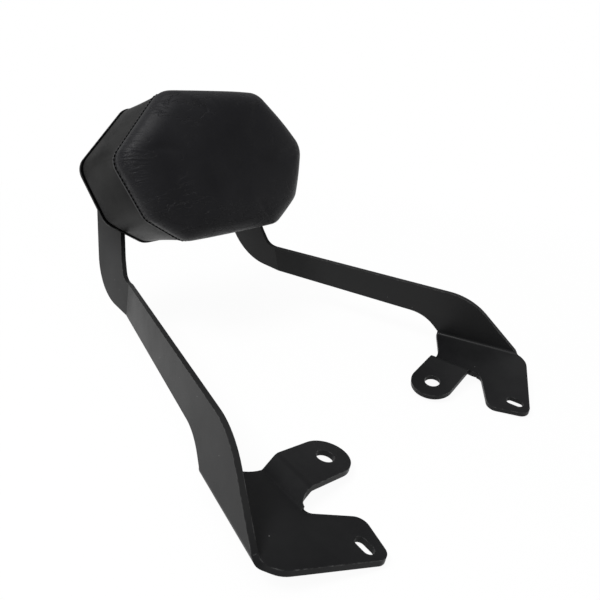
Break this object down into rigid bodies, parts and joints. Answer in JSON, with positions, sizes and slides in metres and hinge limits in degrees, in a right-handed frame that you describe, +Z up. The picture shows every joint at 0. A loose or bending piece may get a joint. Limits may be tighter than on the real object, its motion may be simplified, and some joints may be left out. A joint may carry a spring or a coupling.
{
  "type": "motorcycle backrest",
  "caption": "Padded octagonal passenger backrest on two folded steel brackets that bolt down on either side of a seat's tail.",
  "frame": {"origin": "midway between the seats of the two round fixing holes", "axes": "+X to the rider's right, -Y forward, +Z up"},
  "size_m": [0.4008, 0.4634, 0.2615],
  "materials": {
    "black_powder_coat": "satin",
    "leatherette": "grained",
    "plywood": "raw",
    "foam": "matt",
    "steel_wire": "bright",
    "zinc_steel": "zinc plated",
    "black_steel": "blackened"
  },
  "bodies": {
    "root": {"left_bracket": "black_powder_coat", "right_bracket": "black_powder_coat", "back_plate": "black_powder_coat", "pad_board": "plywood", "foam_pad": "foam", "front_panel": "leatherette", "side_band": "leatherette", "staples": "steel_wire", "tee_nut_left_lower": "zinc_steel", "flat_washer_left_lower": "black_steel", "spring_washer_left_lower": "black_steel", "bolt_left_lower": "black_steel", "tee_nut_left_upper": "zinc_steel", "flat_washer_left_upper": "black_steel", "spring_washer_left_upper": "black_steel", "bolt_left_upper": "black_steel", "tee_nut_right_lower": "zinc_steel", "flat_washer_right_lower": "black_steel", "spring_washer_right_lower": "black_steel", "bolt_right_lower": "black_steel", "tee_nut_right_upper": "zinc_steel", "flat_washer_right_upper": "black_steel", "spring_washer_right_upper": "black_steel", "bolt_right_upper": "black_steel"}
  },
  "joints": []
}
